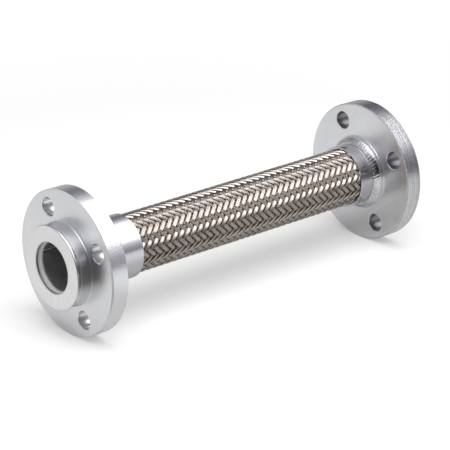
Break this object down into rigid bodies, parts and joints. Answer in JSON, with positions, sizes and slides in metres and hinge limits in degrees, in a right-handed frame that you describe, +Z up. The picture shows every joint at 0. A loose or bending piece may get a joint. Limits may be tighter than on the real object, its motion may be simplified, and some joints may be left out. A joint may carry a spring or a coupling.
{
  "type": "flanged metal hose",
  "caption": "Short corrugated metal hose in a woven wire braid, with a swivelling lap-joint flange at one end and a welded flange at the other.",
  "frame": {"origin": "on the floor under the middle of the hose, which lies on the rims of its two flanges", "axes": "+X along the hose towards the raised face of the welded flange, +Z up"},
  "size_m": [0.365, 0.127, 0.127],
  "materials": {
    "machined_flange": "turned, satin",
    "pipe": "satin",
    "hose_wall": "bright annealed",
    "braid_wire": "bright drawn wire",
    "ferrule": "satin",
    "weld": "dressed weld bead"
  },
  "bodies": {
    "hose": {"stub_end": "pipe", "cap_weld_left": "weld", "ferrule_left": "ferrule", "inner_hose": "hose_wall", "wire_braid": "braid_wire", "ferrule_right": "ferrule", "cap_weld_right": "weld", "end_pipe": "pipe", "fillet_weld_back": "weld", "fillet_weld_front": "weld", "fixed_flange": "machined_flange"},
    "loose_flange": {"loose_flange": "machined_flange"}
  },
  "joints": [
    {"name": "flange_swivel", "type": "hinge", "parent": "hose", "child": "loose_flange", "pos_m": [-0.1679, 0, 0.0635], "axis": [1, 0, 0], "continuous": true}
  ]
}
